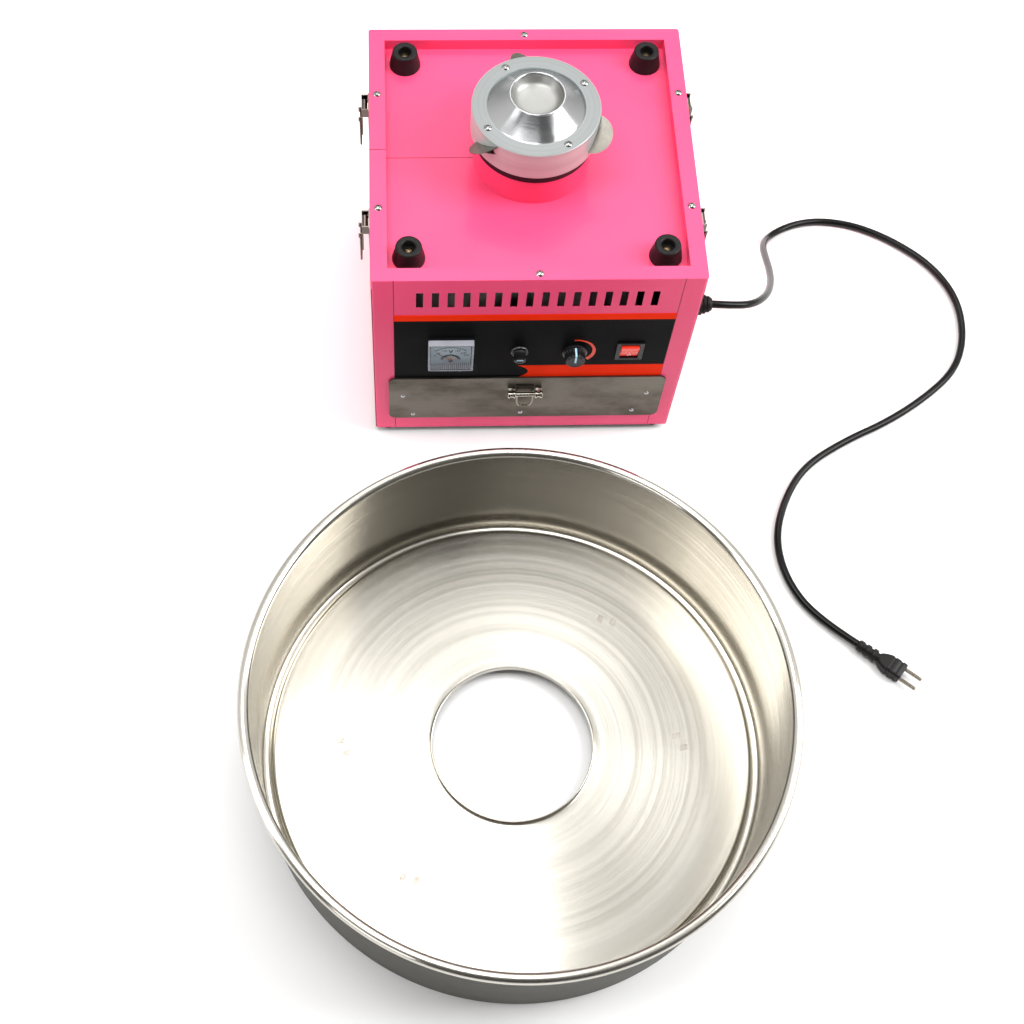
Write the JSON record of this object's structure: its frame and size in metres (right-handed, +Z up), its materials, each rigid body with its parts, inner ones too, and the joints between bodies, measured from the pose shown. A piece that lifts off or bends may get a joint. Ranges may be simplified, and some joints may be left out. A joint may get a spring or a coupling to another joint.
{
  "type": "cotton candy machine",
  "caption": "Table-top candy floss machine: pink sheet-steel cabinet with spinning head, drawer, control panel, latches and cord, and its separate spun steel pan.",
  "frame": {"origin": "on the floor under the middle of the cabinet, level with the soles of its feet", "axes": "+Z up, -Y out of the cabinet's front, +X to the right of someone who faces the front"},
  "size_m": [0.8133, 0.949, 0.3607],
  "materials": {
    "pink_paint": "gloss hot pink enamel",
    "stainless": "spun and brushed stainless steel",
    "drawer_stainless": "brushed stainless steel, smudged",
    "aluminium_satin": "turned aluminium, satin",
    "aluminium_polished": "polished aluminium",
    "nickel": "nickel plate",
    "screw_steel": "bright zinc plate",
    "steel_dark": "plain steel",
    "rubber_black": "matt black rubber",
    "overlay_print": "printed foil, black and orange",
    "black_plastic": "black moulded plastic",
    "cord_pvc": "black flexible PVC",
    "clear_plastic": "clear moulded acrylic",
    "dial_paper": "printed dial",
    "needle_red": "red lacquer",
    "rocker_red": "translucent red plastic",
    "copper": "bare copper",
    "carbon": "sintered carbon",
    "fuse_glass": "clear glass tube",
    "insulator": "phenolic insulator",
    "motor_paint": "black enamel"
  },
  "bodies": {
    "cabinet": {"side_panel_left": "pink_paint", "side_panel_right": "pink_paint", "front_panel": "pink_paint", "rear_panel": "pink_paint", "top_frame": "pink_paint", "top_frame_screws": "screw_steel", "deck_plate": "pink_paint", "head_collar": "pink_paint", "collar_ring": "rubber_black", "base_plate": "pink_paint", "rubber_feet": "rubber_black", "pan_cushions": "rubber_black", "cushion_screws": "screw_steel", "control_overlay": "overlay_print", "meter_case": "black_plastic", "meter_cover": "clear_plastic", "meter_dial": "dial_paper", "fuse_holder": "black_plastic", "switch_bezel": "black_plastic", "heat_regulator": "black_plastic", "drawer_rails": "steel_dark", "cord_gland": "cord_pvc", "power_cord": "cord_pvc", "plug_body": "cord_pvc", "plug_pins": "nickel", "motor_bracket": "steel_dark", "motor_housing": "motor_paint", "motor_bearings": "steel_dark", "brush_holder": "insulator", "carbon_brushes": "carbon", "latch_bases": "nickel"},
    "head": {"motor_shaft": "steel_dark", "cooling_fan": "aluminium_satin", "slip_rings": "copper", "heater_ring": "insulator", "head_base": "aluminium_satin", "head_rim": "aluminium_satin", "air_vanes": "aluminium_satin", "sugar_cone": "aluminium_polished", "ring_screws": "screw_steel"},
    "needle": {"meter_needle": "needle_red"},
    "fuse": {"fuse_cap": "black_plastic", "glass_fuse": "fuse_glass"},
    "rocker": {"switch_rocker": "rocker_red"},
    "knob": {"temperature_knob": "black_plastic"},
    "drawer": {"drawer_front": "drawer_stainless", "drawer_tray": "stainless", "drawer_screws": "screw_steel", "handle_bracket": "nickel"},
    "bail": {"handle_bail": "nickel"},
    "pan": {"pan_bowl": "stainless", "pan_catches": "stainless"},
    "lever_left_front": {"latch_lever_left_front": "nickel"},
    "loop_left_front": {"latch_loop_left_front": "nickel"},
    "lever_left_rear": {"latch_lever_left_rear": "nickel"},
    "loop_left_rear": {"latch_loop_left_rear": "nickel"},
    "lever_right_front": {"latch_lever_right_front": "nickel"},
    "loop_right_front": {"latch_loop_right_front": "nickel"},
    "lever_right_rear": {"latch_lever_right_rear": "nickel"},
    "loop_right_rear": {"latch_loop_right_rear": "nickel"}
  },
  "joints": [
    {"name": "head_spin", "type": "hinge", "parent": "cabinet", "child": "head", "pos_m": [0, 0, 0.25], "axis": [0, 0, 1], "continuous": true},
    {"name": "needle_swing", "type": "hinge", "parent": "cabinet", "child": "needle", "pos_m": [-0.0825, -0.1637, 0.15], "axis": [0, 1, 0], "range_deg": [0, 90], "stiffness_Nm_per_rad": 0.0001, "springref_deg": -11.46},
    {"name": "fuse_pull", "type": "slide", "parent": "cabinet", "child": "fuse", "axis": [0, -1, 0], "range_m": [0, 0.03]},
    {"name": "rocker_tilt", "type": "hinge", "parent": "cabinet", "child": "rocker", "pos_m": [0.101, -0.1563, 0.16], "axis": [1, 0, 0], "range_deg": [-13, 0]},
    {"name": "knob_turn", "type": "hinge", "parent": "cabinet", "child": "knob", "pos_m": [0.0445, -0.165, 0.16], "axis": [0, 1, 0], "range_deg": [0, 150]},
    {"name": "drawer_slide", "type": "slide", "parent": "cabinet", "child": "drawer", "axis": [0, -1, 0], "range_m": [0, 0.08]},
    {"name": "bail_swing", "type": "hinge", "parent": "drawer", "child": "bail", "pos_m": [-0.002, -0.1674, 0.0895], "axis": [-1, 0, 0], "range_deg": [0, 90]},
    {"name": "lever_swing_left_front", "type": "hinge", "parent": "cabinet", "child": "lever_left_front", "pos_m": [-0.167, -0.074, 0.262], "axis": [0, 1, 0], "range_deg": [0, 75]},
    {"name": "loop_swing_left_front", "type": "hinge", "parent": "lever_left_front", "child": "loop_left_front", "pos_m": [-0.1715, -0.074, 0.25], "axis": [0, 1, 0], "range_deg": [0, 100]},
    {"name": "lever_swing_left_rear", "type": "hinge", "parent": "cabinet", "child": "lever_left_rear", "pos_m": [-0.167, 0.074, 0.262], "axis": [0, 1, 0], "range_deg": [0, 75]},
    {"name": "loop_swing_left_rear", "type": "hinge", "parent": "lever_left_rear", "child": "loop_left_rear", "pos_m": [-0.1715, 0.074, 0.25], "axis": [0, 1, 0], "range_deg": [0, 100]},
    {"name": "lever_swing_right_front", "type": "hinge", "parent": "cabinet", "child": "lever_right_front", "pos_m": [0.167, -0.074, 0.262], "axis": [0, -1, 0], "range_deg": [0, 75]},
    {"name": "loop_swing_right_front", "type": "hinge", "parent": "lever_right_front", "child": "loop_right_front", "pos_m": [0.1715, -0.074, 0.25], "axis": [0, -1, 0], "range_deg": [0, 100]},
    {"name": "lever_swing_right_rear", "type": "hinge", "parent": "cabinet", "child": "lever_right_rear", "pos_m": [0.167, 0.074, 0.262], "axis": [0, -1, 0], "range_deg": [0, 75]},
    {"name": "loop_swing_right_rear", "type": "hinge", "parent": "lever_right_rear", "child": "loop_right_rear", "pos_m": [0.1715, 0.074, 0.25], "axis": [0, -1, 0], "range_deg": [0, 100]},
    {"name": "pan_lift", "type": "slide", "parent": "cabinet", "child": "pan", "axis": [0, 0, 1], "range_m": [0, 0.3]}
  ]
}
